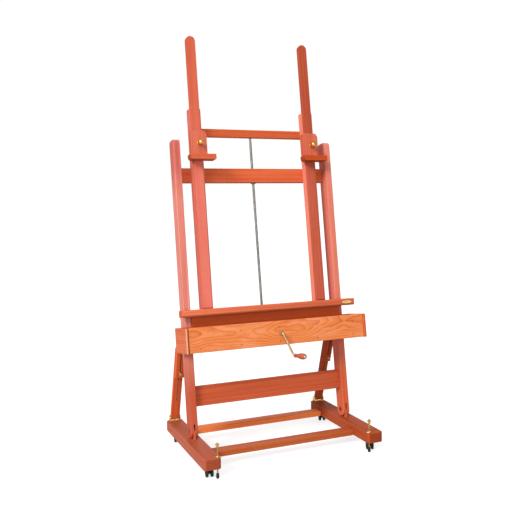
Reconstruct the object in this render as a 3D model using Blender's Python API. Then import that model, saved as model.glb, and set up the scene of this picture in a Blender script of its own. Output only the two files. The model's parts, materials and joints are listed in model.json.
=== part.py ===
"""Crank-driven studio easel: a wheeled base, a tilting post frame and a lifting canvas carriage."""

import math

import bmesh
import bpy
from mathutils import Matrix, Vector

# ---------------------------------------------------------------- driving dimensions, metres
GAP = 0.0003  # between pieces that touch
SIDES = (("left", -1.0), ("right", 1.0))

# base
BASE_WIDTH = 0.670
RAIL_X = 0.305
RAIL_WIDTH = 0.060
RAIL_FRONT = -0.225
RAIL_BACK = 0.225
RAIL_BOTTOM = 0.034
RAIL_TOP = 0.071
RAIL_CORNER = 0.010
CROSS_TOP = 0.054
CROSS_FRONT = (-0.123, -0.081)
CROSS_REAR = (0.130, 0.170)

# tilt of the frame and the axis it tilts on
TILT = math.radians(8.5)
FRAME_ORIGIN = Vector((0.0, -0.032, 0.071))
POST_X = 0.3015
POST_HALF = 0.0125
POST_DEPTH = 0.051
POST_TOP = 1.058
PIVOT_D = 0.0255
PIVOT_S = 0.031
FORK_HALF = 0.0036
FORK_TOP = 0.0545
TONGUE_HALF = 0.0031
TONGUE_REACH = 0.0150
TONGUE_FRONT = 0.0245
TONGUE_SUNK = 0.012
BOLT_RADIUS = 0.0040

# frame rails
UPPER_RAIL_S = (0.907, 0.960)
UPPER_RAIL_D = (0.0327, 0.0515)
LOWER_RAIL_S = (0.1115, 0.1805)
LOWER_RAIL_D = (0.018, 0.043)
SPINDLE_D = 0.0421
SPINDLE_RADIUS = 0.0048
SPINDLE_S = (0.372, 1.098)
NUT_RADIUS = 0.0072

# carriage
MAST_X = 0.2255
MAST_HALF = 0.0215
MAST_DEPTH = 0.0320
CHEEK_FRONT = 0.0024
MAST_S = (0.312, 1.171)
CHANNEL_HALF = 0.0179
CHANNEL_DEPTH = 0.0135
CHANNEL_BOTTOM = 0.4520
EXTENSION_HALF = 0.0175
EXTENSION_D = (-0.0025, 0.0130)
EXTENSION_S = (0.4528, 1.438)
CROSSBAR_S = (1.078, 1.107)
CROSSBAR_REACH = 0.232
CROSSBAR_D = (0.0324, 0.0515)
SHELF_HALF = 0.337
SHELF_D = (-0.059, -0.0160)
SHELF_S = (0.4255, 0.4505)
APRON_HALF = 0.292
BOARD_D = (-0.0155, -0.0005)
BOX_S = (0.306, 0.391)
BOX_FRONT_D = (-0.110, -0.100)
BOX_HALF = 0.3373
SIDE_INNER = 0.3378
SIDE_OUTER = 0.3469
SIDE_BACK_D = 0.012
SIDE_FRONT_D = -0.1135
CRANK_S = 0.349
SHAFT_RADIUS = 0.0050
CRANK_THROW = Vector((0.036, -0.082))
GRIP_D = (-0.2165, -0.1385)

# canvas clamps
CLAMP_X = 0.2236
CLAMP_HALF = 0.0295
CLAMP_D = (-0.020, -0.0032)
CLAMP_S = (0.9985, 1.087)
CHEEK_BACK = 0.012
JAW_X = (-0.041, 0.0545)
JAW_D = (-0.042, -0.0032)
JAW_S = (0.979, 0.9981)
KNOB_S = 1.040

# rear stays
STAY_X = 0.305
STAY_HALF = 0.0165
STAY_PIN = Vector((0.0, 0.2105, 0.084))
LOWER_BAR = 0.014
UPPER_BAR = 0.012
BAR_GAP = 0.0017
LUG_D = 0.069
LUG_S = 0.360
LOWER_LENGTH = 0.300
UPPER_BOLT = 0.150
UPPER_END = 0.172
SLOT_HALF = 0.0021
PIN_RADIUS = 0.0024
CLAMP_BOLT = 0.0017

# castors and levelling screws
CASTOR_Y = 0.182
CASTOR_TRAIL = -0.008
CASTOR_TURN = {"front_left": -9.0, "front_right": -22.0, "rear_left": -8.0, "rear_right": -18.0}
WHEEL_RADIUS = 0.0145
LEVEL_X = 0.2855
LEVEL_Y = -0.213
LEVEL_ROD = 0.0030
LEVEL_HEAD_Z = 0.112

# ---------------------------------------------------------------- scene and collections
for old in list(bpy.data.objects):
    bpy.data.objects.remove(old)
easel = bpy.data.collections.new("artist_easel")
bpy.context.scene.collection.children.link(easel)
cutters = bpy.data.collections.new("cutters")
bpy.context.scene.collection.children.link(cutters)


def material(name, colour, roughness, metallic=0.0):
    made = bpy.data.materials.new(name)
    made.use_nodes = True
    shader = made.node_tree.nodes["Principled BSDF"]
    shader.inputs["Base Color"].default_value = (*colour, 1.0)
    shader.inputs["Roughness"].default_value = roughness
    shader.inputs["Metallic"].default_value = metallic
    made.diffuse_color = (*colour, 1.0)
    return made


BEECH = material("oiled_beech", (0.62, 0.20, 0.11), 0.45)
BEECH_RAIL = material("oiled_beech_rail", (0.60, 0.17, 0.07), 0.45)
PINE = material("box_front_board", (0.86, 0.38, 0.15), 0.45)
DARK_BOARD = material("shaded_board", (0.40, 0.10, 0.04), 0.50)
BRASS = material("brass", (0.80, 0.55, 0.22), 0.30, 1.0)
STEEL = material("steel", (0.45, 0.42, 0.39), 0.35, 1.0)
PLASTIC = material("black_plastic", (0.02, 0.02, 0.02), 0.40)
RUBBER = material("black_rubber", (0.03, 0.03, 0.03), 0.80)


# ---------------------------------------------------------------- placing
def from_frame(x, d, s):
    """World point of a place given across, back and up the tilted frame."""
    back = Vector((0.0, math.cos(TILT), -math.sin(TILT)))
    up = Vector((0.0, math.sin(TILT), math.cos(TILT)))
    return FRAME_ORIGIN + Vector((x, 0.0, 0.0)) + back * d + up * s


def frame_matrix(x, d, s):
    return Matrix.Translation(from_frame(x, d, s)) @ Matrix.Rotation(-TILT, 4, "X")


def make(name, mesh, matrix, look=None):
    """An object from a finished mesh. Without a material it is a cutter."""
    obj = bpy.data.objects.new(name, mesh)
    obj.matrix_world = matrix
    if look is None:
        cutters.objects.link(obj)
        obj.hide_render = True
        obj.display_type = "WIRE"
    else:
        easel.objects.link(obj)
        mesh.materials.append(look)
    return obj


def finish(bm, name):
    bmesh.ops.recalc_face_normals(bm, faces=bm.faces)
    mesh = bpy.data.meshes.new(name)
    bm.to_mesh(mesh)
    bm.free()
    return mesh


def combine(obj, other, operation):
    step = obj.modifiers.new(operation.lower() + "_" + other.name, "BOOLEAN")
    step.operation = operation
    step.solver = "EXACT"
    step.object = other


def cut(obj, mesh, matrix, label):
    combine(obj, make("cut_" + obj.name + "_" + label, mesh, matrix), "DIFFERENCE")


def add(obj, mesh, matrix, label):
    combine(obj, make("add_" + obj.name + "_" + label, mesh, matrix), "UNION")


# ---------------------------------------------------------------- shapes
def slab(low, high, bevel=0.0, name="slab"):
    """A block between two corners, its edges eased."""
    low = Vector(low)
    high = Vector(high)
    bm = bmesh.new()
    bmesh.ops.create_cube(bm, size=1.0)
    bmesh.ops.scale(bm, vec=high - low, verts=bm.verts)
    bmesh.ops.translate(bm, vec=(high + low) / 2, verts=bm.verts)
    if bevel:
        bmesh.ops.bevel(bm, geom=bm.edges[:], offset=bevel, segments=1, affect="EDGES")
    return finish(bm, name)


def arc(centre, radius, start, stop, steps):
    """Points of an arc in a plane, angles in degrees."""
    made = []
    for i in range(steps + 1):
        turn = math.radians(start + (stop - start) * i / steps)
        made.append((centre[0] + radius * math.cos(turn), centre[1] + radius * math.sin(turn)))
    return made


def prism(outline, low, high, along, bevel=0.0, name="prism"):
    """An outline pulled along an axis. Its two coordinates are the other two axes in order."""
    bm = bmesh.new()
    order = {"X": (2, 0, 1), "Y": (0, 2, 1), "Z": (0, 1, 2)}[along]

    def place(u, v, w):
        source = (u, v, w)
        return Vector([source[order[k]] for k in range(3)])

    corners = [bm.verts.new(place(u, v, low)) for u, v in outline]
    face = bm.faces.new(corners)
    pulled = bmesh.ops.extrude_face_region(bm, geom=[face])["geom"]
    moved = [g for g in pulled if isinstance(g, bmesh.types.BMVert)]
    bmesh.ops.translate(bm, vec=place(0.0, 0.0, high - low), verts=moved)
    bmesh.ops.recalc_face_normals(bm, faces=bm.faces)
    if bevel:
        ends = []
        for edge in bm.edges:
            if len(edge.link_faces) == 2:
                sizes = [len(f.verts) for f in edge.link_faces]
                if max(sizes) == len(outline) and min(sizes) != max(sizes):
                    ends.append(edge)
        bmesh.ops.bevel(bm, geom=ends, offset=bevel, segments=1, affect="EDGES")
    return finish(bm, name)


def turned(profile, along, steps=24, name="turned"):
    """A turned solid. The profile holds (place along the axis, radius), the ends on the axis."""
    bm = bmesh.new()
    rings = []
    for place, radius in profile:
        if radius == 0.0:
            rings.append([bm.verts.new((0.0, 0.0, place))])
            continue
        ring = []
        for i in range(steps):
            turn = 2 * math.pi * i / steps
            ring.append(bm.verts.new((radius * math.cos(turn), radius * math.sin(turn), place)))
        rings.append(ring)
    for one, two in zip(rings, rings[1:]):
        for i in range(steps):
            j = (i + 1) % steps
            quad = [one[i % len(one)], one[j % len(one)], two[j % len(two)], two[i % len(two)]]
            unique = list(dict.fromkeys(quad))
            bm.faces.new(unique)
    turn_to = {"X": Matrix.Rotation(math.pi / 2, 3, "Y"), "Z": Matrix.Identity(3)}
    turn_to["Y"] = Matrix.Rotation(-math.pi / 2, 3, "X")
    bmesh.ops.transform(bm, matrix=turn_to[along].to_4x4(), verts=bm.verts)
    for face in bm.faces:
        face.smooth = True
    return finish(bm, name)


def tube(profile, steps=24, name="tube"):
    """A ring-shaped turned solid about Z. The profile is a closed loop of (height, radius)."""
    bm = bmesh.new()
    rings = []
    for place, radius in profile:
        ring = []
        for i in range(steps):
            turn = 2 * math.pi * i / steps
            ring.append(bm.verts.new((radius * math.cos(turn), radius * math.sin(turn), place)))
        rings.append(ring)
    for k, one in enumerate(rings):
        two = rings[(k + 1) % len(rings)]
        for i in range(steps):
            j = (i + 1) % steps
            bm.faces.new((one[i], one[j], two[j], two[i]))
    return finish(bm, name)


def rod(points, radii, steps=12, name="rod"):
    """A round bar through points, with its own radius at each point and flat ends."""
    bm = bmesh.new()
    points = [Vector(p) for p in points]
    side = Vector((1.0, 0.0, 0.0))
    rings = []
    for k, here in enumerate(points):
        before = points[max(k - 1, 0)]
        after = points[min(k + 1, len(points) - 1)]
        if (here - before).length < 1e-7 and k > 1:
            before = points[k - 2]
        if (after - here).length < 1e-7 and k + 2 < len(points):
            after = points[k + 2]
        forward = (after - before).normalized()
        side = (side - forward * side.dot(forward)).normalized()
        other = forward.cross(side)
        ring = []
        for i in range(steps):
            turn = 2 * math.pi * i / steps
            spoke = side * math.cos(turn) + other * math.sin(turn)
            ring.append(bm.verts.new(here + spoke * radii[k]))
        rings.append(ring)
    for one, two in zip(rings, rings[1:]):
        for i in range(steps):
            j = (i + 1) % steps
            bm.faces.new((one[i], one[j], two[j], two[i]))
    bm.faces.new(rings[0])
    bm.faces.new(rings[-1])
    for face in bm.faces:
        face.smooth = len(face.verts) == 4
    return finish(bm, name)


def round_hole(radius, low, high, along, steps=24):
    return turned([(low, 0.0), (low, radius), (high, radius), (high, 0.0)], along, steps, "hole")


def rounded_rectangle(u0, u1, v0, v1, radii, steps=5):
    """Corner radii in the order low-low, high-low, high-high, low-high."""
    corners = (
        ((u0, v0), (1, 1), 180),
        ((u1, v0), (-1, 1), 270),
        ((u1, v1), (-1, -1), 0),
        ((u0, v1), (1, -1), 90),
    )
    made = []
    for (point, inward, start), radius in zip(corners, radii):
        if radius == 0.0:
            made.append(point)
            continue
        centre = (point[0] + inward[0] * radius, point[1] + inward[1] * radius)
        made.extend(arc(centre, radius, start, start + 90, steps))
    return made


# ---------------------------------------------------------------- base
PIVOT = from_frame(0.0, PIVOT_D, PIVOT_S)
for side, sign in SIDES:
    centre = sign * RAIL_X
    at = Matrix.Translation((centre, 0.0, 0.0))
    half = RAIL_WIDTH / 2
    outline = rounded_rectangle(-half, half, RAIL_FRONT, RAIL_BACK, [RAIL_CORNER] * 4)
    rail_mesh = prism(outline, RAIL_BOTTOM, RAIL_TOP, "Z", 0.0015)
    rail = make("side_rail_" + side, rail_mesh, at, BEECH)
    cut(
        rail,
        slab(
            (-TONGUE_HALF - GAP, -TONGUE_FRONT - GAP, RAIL_TOP - TONGUE_SUNK - GAP),
            (TONGUE_HALF + GAP, TONGUE_REACH + GAP, RAIL_TOP + 0.02),
        ),
        Matrix.Translation((sign * POST_X, PIVOT.y, 0.0)),
        "mortise",
    )
    cut(
        rail,
        round_hole(LEVEL_ROD + 0.0006, 0.0, 0.1, "Z"),
        Matrix.Translation((sign * LEVEL_X, LEVEL_Y, 0.0)),
        "level_hole",
    )

    # the tongue stands in the rail and carries the post on a bolt
    outline = [(-TONGUE_FRONT, RAIL_TOP - TONGUE_SUNK), (TONGUE_REACH, RAIL_TOP - TONGUE_SUNK)]
    outline += arc((0.0, PIVOT.z), TONGUE_REACH, 0, 150, 10)
    outline.append((-TONGUE_FRONT, PIVOT.z + 0.003))
    tongue = make(
        "pivot_tongue_" + side,
        prism(outline, -TONGUE_HALF, TONGUE_HALF, "X"),
        Matrix.Translation((sign * POST_X, PIVOT.y, 0.0)),
        BEECH_RAIL,
    )
    cut(
        tongue,
        round_hole(BOLT_RADIUS + 0.0005, -0.02, 0.02, "X"),
        Matrix.Translation((sign * POST_X, PIVOT.y, PIVOT.z)),
        "bolt_hole",
    )

    # brass fork with its pin, for the foot of the stay
    at = Matrix.Translation((sign * STAY_X, STAY_PIN.y, STAY_PIN.z))
    foot = RAIL_TOP + GAP - STAY_PIN.z
    bracket = make(
        "stay_bracket_" + side,
        slab((-0.0205, -0.012, foot), (0.0205, 0.012, foot + 0.0025), 0.0, "plate"),
        at,
        BRASS,
    )
    ear = [(-0.0095, foot + 0.001), (0.0095, foot + 0.001)] + arc((0, 0), 0.0095, 0, 180, 10)
    for ear_side, x0 in (("inner", -0.0205), ("outer", 0.0175)):
        add(bracket, prism(ear, x0, x0 + 0.003, "X"), at, ear_side)
    add(bracket, round_hole(PIN_RADIUS, -0.0225, 0.0225, "X", 16), at, "pin")

    # levelling screw: nut on the rail, threaded rod with a diamond head, rubber foot
    at = Matrix.Translation((sign * LEVEL_X, LEVEL_Y, 0.0))
    wings = [(-0.011, 0.0), (-0.005, -0.0055), (0.005, -0.0055)]
    wings += [(0.011, 0.0), (0.005, 0.0055), (-0.005, 0.0055)]
    nut = make(
        "level_nut_" + side,
        prism(wings, RAIL_TOP + GAP, RAIL_TOP + 0.0035, "Z"),
        at,
        BRASS,
    )
    cut(nut, round_hole(LEVEL_ROD + 0.0005, 0.0, 0.2, "Z"), at, "thread")
    top = LEVEL_HEAD_Z - 0.004
    rod_profile = [(0.0085, 0.0), (0.0085, LEVEL_ROD), (top, LEVEL_ROD), (top, 0.0)]
    screw = make("level_screw_" + side, turned(rod_profile, "Z", 16), at, BRASS)
    head = [(-0.0085, LEVEL_HEAD_Z), (0.0, LEVEL_HEAD_Z - 0.0085)]
    head += [(0.0085, LEVEL_HEAD_Z), (0.0, LEVEL_HEAD_Z + 0.0085)]
    add(screw, prism(head, -0.0022, 0.0022, "Y"), at, "head")
    foot_mesh = turned(
        [
            (0.0, 0.0),
            (0.0, 0.0034),
            (0.0018, 0.0046),
            (0.0070, 0.0052),
            (0.0160, 0.0047),
            (0.0175, 0.0040),
            (0.0175, LEVEL_ROD + 0.0004),
            (0.0080, LEVEL_ROD + 0.0004),
            (0.0080, 0.0),
        ],
        "Z",
        20,
    )
    make("level_foot_" + side, foot_mesh, at, RUBBER)

for end, (y0, y1) in (("front", CROSS_FRONT), ("rear", CROSS_REAR)):
    reach = RAIL_X - RAIL_WIDTH / 2 - GAP
    mid = (y0 + y1) / 2
    make(
        "cross_rail_" + end,
        slab((-reach, y0 - mid, RAIL_BOTTOM), (reach, y1 - mid, CROSS_TOP), 0.0015),
        Matrix.Translation((0.0, mid, 0.0)),
        BEECH_RAIL,
    )

# ---------------------------------------------------------------- twin-wheel castors
for end, end_sign in (("front", -1.0), ("rear", 1.0)):
    for side, sign in SIDES:
        at = Matrix.Translation((sign * RAIL_X, end_sign * CASTOR_Y, 0.0))
        label = end + "_" + side
        at = at @ Matrix.Rotation(math.radians(CASTOR_TURN[label]), 4, "Z")
        plate = [(0.0300, 0.0), (0.0300, 0.0130), (RAIL_BOTTOM - GAP, 0.0130)]
        plate.append((RAIL_BOTTOM - GAP, 0.0))
        fork = make("castor_fork_" + label, turned(plate, "Z", 20), at, PLASTIC)
        web = arc((CASTOR_TRAIL, WHEEL_RADIUS), 0.0058, 110, 330, 12)
        web += [(0.0060, 0.0310), (-0.0120, 0.0310)]
        add(fork, prism(web, -0.0030, 0.0030, "X"), at, "web")
        axle_at = at @ Matrix.Translation((0.0, CASTOR_TRAIL, WHEEL_RADIUS))
        cut(fork, round_hole(0.0026, -0.01, 0.01, "X", 16), axle_at, "axle")
        wheel = [
            (-0.0130, 0.0),
            (-0.0130, 0.0120),
            (-0.0118, WHEEL_RADIUS),
            (-0.0048, WHEEL_RADIUS),
            (-0.0036, 0.0135),
            (-0.0036, 0.0020),
        ]
        wheel += [(-place, radius) for place, radius in reversed(wheel)]
        make("castor_wheels_" + label, turned(wheel, "X", 28), axle_at, PLASTIC)

# ---------------------------------------------------------------- tilting frame
for side, sign in SIDES:
    at = frame_matrix(sign * POST_X, PIVOT_D, PIVOT_S)
    reach = POST_DEPTH / 2
    top = POST_TOP - PIVOT_S
    outline = arc((0.0, 0.0), reach, 180, 360, 16)
    outline += arc((reach - 0.012, top - 0.012), 0.012, 0, 90, 5)
    outline += arc((-reach + 0.012, top - 0.012), 0.012, 90, 180, 5)
    post = make("post_" + side, prism(outline, -POST_HALF, POST_HALF, "X", 0.0015), at, BEECH)
    slot = slab((-FORK_HALF, -0.1, -0.1), (FORK_HALF, 0.1, FORK_TOP - PIVOT_S))
    cut(post, slot, at, "fork")
    cut(post, round_hole(BOLT_RADIUS + 0.0003, -0.1, 0.1, "X"), at, "bolt_hole")

    grip = POST_HALF + GAP
    bolt_profile = [
        (-grip - 0.0025, 0.0),
        (-grip - 0.0025, 0.0062),
        (-grip, 0.0075),
        (-grip, BOLT_RADIUS),
        (grip, BOLT_RADIUS),
        (grip, 0.0075),
        (grip + 0.0025, 0.0062),
        (grip + 0.0025, 0.0),
    ]
    make("pivot_bolt_" + side, turned(bolt_profile, "X", 20), at, STEEL)

    # brass lug on the back of the post, with the pin of the upper stay bar
    at = frame_matrix(sign * STAY_X, LUG_D, LUG_S)
    inward = POST_X - STAY_X
    back = POST_DEPTH + GAP - LUG_D
    lug = make(
        "stay_lug_" + side,
        slab((sign * inward - 0.0105, back, -0.017), (sign * inward + 0.0105, back + 0.0025, 0.017)),
        at,
        BRASS,
    )
    cheek = [(back + 0.001, -0.0075), (0.0, -0.0075)] + arc((0, 0), 0.0075, -75, 75, 8)
    cheek += [(0.0, 0.0075), (back + 0.001, 0.0075)]
    add(lug, prism(cheek, -0.0035, 0.0035, "X"), at, "cheek")
    add(lug, round_hole(PIN_RADIUS, -0.0185, 0.0185, "X", 16), at, "pin")

reach = POST_X - POST_HALF - GAP
upper = make(
    "upper_rail",
    slab((-reach, UPPER_RAIL_D[0], UPPER_RAIL_S[0]), (reach, UPPER_RAIL_D[1], UPPER_RAIL_S[1]), 0.0015),
    frame_matrix(0.0, 0.0, 0.0),
    BEECH_RAIL,
)
nut_at = frame_matrix(0.0, SPINDLE_D, 0.0)
cut(upper, round_hole(NUT_RADIUS + GAP, 0.8, 1.1, "Z"), nut_at, "nut_hole")
make(
    "lower_rail",
    slab((-reach, LOWER_RAIL_D[0], LOWER_RAIL_S[0]), (reach, LOWER_RAIL_D[1], LOWER_RAIL_S[1]), 0.0015),
    frame_matrix(0.0, 0.0, 0.0),
    BEECH_RAIL,
)
bore = SPINDLE_RADIUS + 0.0005
nut_profile = [
    (UPPER_RAIL_S[0] - 0.0033, bore),
    (UPPER_RAIL_S[0] - 0.0033, 0.0092),
    (UPPER_RAIL_S[0] - GAP, 0.0092),
    (UPPER_RAIL_S[0] - GAP, NUT_RADIUS),
    (UPPER_RAIL_S[1] - 0.001, NUT_RADIUS),
    (UPPER_RAIL_S[1] - 0.001, bore),
]
make("spindle_nut", tube(nut_profile, 24), nut_at, BRASS)

# ---------------------------------------------------------------- lifting carriage
for side, sign in SIDES:
    at = frame_matrix(sign * MAST_X, 0.0, 0.0)
    mast = make(
        "mast_" + side,
        slab((-MAST_HALF, 0.0, MAST_S[0]), (MAST_HALF, MAST_DEPTH, MAST_S[1]), 0.0012),
        at,
        BEECH,
    )
    channel = slab((-CHANNEL_HALF, -0.01, CHANNEL_BOTTOM), (CHANNEL_HALF, CHANNEL_DEPTH, 1.3))
    cut(mast, channel, at, "channel")
    cut(mast, slab((-0.1, -0.1, CHANNEL_BOTTOM), (0.1, CHEEK_FRONT, 1.3)), at, "cheek_front")

    # extension with a round top, sliding in the channel
    outline = [(-EXTENSION_HALF, EXTENSION_S[0]), (EXTENSION_HALF, EXTENSION_S[0])]
    outline += arc((0.0, EXTENSION_S[1] - EXTENSION_HALF), EXTENSION_HALF, 0, 180, 12)
    make(
        "mast_extension_" + side,
        prism(outline, EXTENSION_D[0], EXTENSION_D[1], "Y", 0.0010),
        at,
        BEECH,
    )

    # canvas clamp: a block round the mast, a jaw under it and a ball knob
    at = frame_matrix(sign * CLAMP_X, 0.0, 0.0)
    outline = rounded_rectangle(
        -CLAMP_HALF, CLAMP_HALF, CLAMP_S[0], CLAMP_S[1], [0.0, 0.0, 0.015, 0.004]
    )
    block = make(
        "clamp_block_" + side,
        prism(outline, CLAMP_D[0], CHEEK_BACK, "Y", 0.0010),
        at,
        BEECH,
    )
    shift = sign * (MAST_X - CLAMP_X)
    groove = slab(
        (shift - MAST_HALF - 0.0004, CLAMP_D[1], 0.9),
        (shift + MAST_HALF + 0.0004, 0.1, 1.2),
    )
    cut(block, groove, at, "groove")
    knob_at = frame_matrix(sign * CLAMP_X, 0.0, KNOB_S)
    cut(block, round_hole(0.0029, -0.1, 0.1, "Y", 16), knob_at, "screw_hole")
    outline = rounded_rectangle(JAW_X[0], JAW_X[1], JAW_S[0], JAW_S[1], [0.009, 0.003, 0.0, 0.0])
    make("clamp_jaw_" + side, prism(outline, JAW_D[0], JAW_D[1], "Y", 0.0010), at, BEECH_RAIL)
    ball = [(-0.0400 - 0.0102 * math.cos(math.pi * i / 10), 0.0102 * math.sin(math.pi * i / 10))
            for i in range(9)]
    ball[0] = (ball[0][0], 0.0)
    ball += [(-0.0315, 0.0056), (-0.0230, 0.0062), (-0.0225, 0.0084), (CLAMP_D[0] - GAP, 0.0084)]
    ball += [(CLAMP_D[0] - GAP, 0.0024), (-0.0030, 0.0024), (-0.0030, 0.0)]
    make("clamp_knob_" + side, turned(ball, "Y", 20), knob_at, BRASS)

    make(
        "box_side_" + side,
        slab(
            (min(sign * SIDE_INNER, sign * SIDE_OUTER), SIDE_FRONT_D, BOX_S[0] - 0.001),
            (max(sign * SIDE_INNER, sign * SIDE_OUTER), SIDE_BACK_D, BOX_S[1]),
            0.0012,
        ),
        frame_matrix(0.0, 0.0, 0.0),
        BEECH,
    )

carriage = frame_matrix(0.0, 0.0, 0.0)
crossbar = make(
    "crossbar",
    slab(
        (-CROSSBAR_REACH, CROSSBAR_D[0], CROSSBAR_S[0]),
        (CROSSBAR_REACH, CROSSBAR_D[1], CROSSBAR_S[1]),
        0.0015,
    ),
    carriage,
    BEECH_RAIL,
)
cut(crossbar, round_hole(bore, 1.0, SPINDLE_S[1] + 0.002, "Z"), nut_at, "bearing")
shelf_outline = rounded_rectangle(-SHELF_HALF, SHELF_HALF, SHELF_S[0], SHELF_S[1], [0.004] * 4, 3)
make("canvas_shelf", prism(shelf_outline, SHELF_D[0], SHELF_D[1], "Y", 0.0015), carriage, BEECH_RAIL)
oval = [(0.0200 * math.cos(t * math.pi / 14), 0.0058 * math.sin(t * math.pi / 14)) for t in range(28)]
make(
    "shelf_plate",
    prism(oval, SHELF_D[0] - GAP - 0.0010, SHELF_D[0] - GAP, "Y"),
    frame_matrix(0.304, 0.0, 0.438),
    BRASS,
)
make(
    "apron",
    slab((-APRON_HALF, BOARD_D[0], BOX_S[1] + GAP), (APRON_HALF, BOARD_D[1], SHELF_S[1]), 0.0010),
    carriage,
    DARK_BOARD,
)
front = make(
    "box_front",
    slab((-BOX_HALF, BOX_FRONT_D[0], BOX_S[0]), (BOX_HALF, BOX_FRONT_D[1], BOX_S[1]), 0.0012),
    carriage,
    PINE,
)
back = make(
    "box_back",
    slab((-BOX_HALF, BOARD_D[0], BOX_S[0]), (BOX_HALF, BOARD_D[1], BOX_S[1]), 0.0010),
    carriage,
    DARK_BOARD,
)
crank_at = frame_matrix(0.0, 0.0, CRANK_S)
for board in (front, back):
    cut(board, round_hole(SHAFT_RADIUS + 0.0005, -0.2, 0.2, "Y"), crank_at, "shaft_hole")
make(
    "box_bottom",
    slab(
        (-BOX_HALF, BOX_FRONT_D[1] + GAP, BOX_S[0] + 0.001),
        (BOX_HALF, BOARD_D[0] - GAP, BOX_S[0] + 0.009),
    ),
    carriage,
    BEECH,
)
gearbox = make(
    "gearbox",
    slab((-0.021, 0.0, 0.326), (0.021, 0.058, 0.384), 0.0025),
    carriage,
    STEEL,
)
cut(gearbox, round_hole(bore, SPINDLE_S[0] - 0.002, 0.5, "Z"), nut_at, "spindle_bore")
cut(gearbox, round_hole(SHAFT_RADIUS + 0.0005, -0.1, 0.0200, "Y"), crank_at, "shaft_bore")

# ---------------------------------------------------------------- spindle, crank and its grip
spindle = [(SPINDLE_S[0], 0.0), (SPINDLE_S[0], SPINDLE_RADIUS)]
spindle += [(SPINDLE_S[1], SPINDLE_RADIUS), (SPINDLE_S[1], 0.0)]
make("spindle", turned(spindle, "Z", 20), nut_at, STEEL)

throw = Vector((CRANK_THROW.x, 0.0, CRANK_THROW.y))
out = Vector((0.0, -1.0, 0.0))
along = throw.normalized()
turn_in = 0.008
elbow = Vector((0.0, -0.1295, 0.0))
path = [Vector((0.0, 0.0180, 0.0)), Vector((0.0, BOX_FRONT_D[0] - 0.0006, 0.0))]
radii = [SHAFT_RADIUS, SHAFT_RADIUS]
path += [Vector((0.0, BOX_FRONT_D[0] - 0.0007, 0.0)), Vector((0.0, -0.1205, 0.0))]
radii += [0.0095, 0.0085]
path += [Vector((0.0, -0.1206, 0.0))]
radii += [0.0034]
for corner, first, second in (
    (elbow, out, along),
    (elbow + throw, along, out),
):
    hinge = corner - first * turn_in + second * turn_in
    for i in range(6):
        bend = math.pi / 2 * i / 5
        path.append(hinge - second * turn_in * math.cos(bend) + first * turn_in * math.sin(bend))
        radii.append(0.0034)
tip = GRIP_D[0] - GAP
for place, radius in ((tip, 0.0034), (tip - 0.0001, 0.0058), (tip - 0.003, 0.0058), (tip - 0.0045, 0.004)):
    path.append(Vector((throw.x, place, throw.z)))
    radii.append(radius)
make("crank", rod(path, radii, 14), crank_at, STEEL)

grip_length = GRIP_D[1] - GRIP_D[0]
grip_shape = [
    (0.00, 0.0075),
    (0.04, 0.0098),
    (0.14, 0.0112),
    (0.30, 0.0115),
    (0.50, 0.0098),
    (0.72, 0.0072),
    (0.86, 0.0062),
    (0.92, 0.0072),
    (1.00, 0.0066),
]
grip_profile = [(share * grip_length, radius) for share, radius in grip_shape]
grip_profile = [(0.0, 0.0039)] + grip_profile + [(grip_length, 0.0039)]
grip_mesh = tube(grip_profile, 24)
lay_down = Matrix.Rotation(-math.pi / 2, 4, "X")
make(
    "crank_grip",
    grip_mesh,
    frame_matrix(throw.x, GRIP_D[0], CRANK_S + throw.z) @ lay_down,
    BEECH,
)

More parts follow.
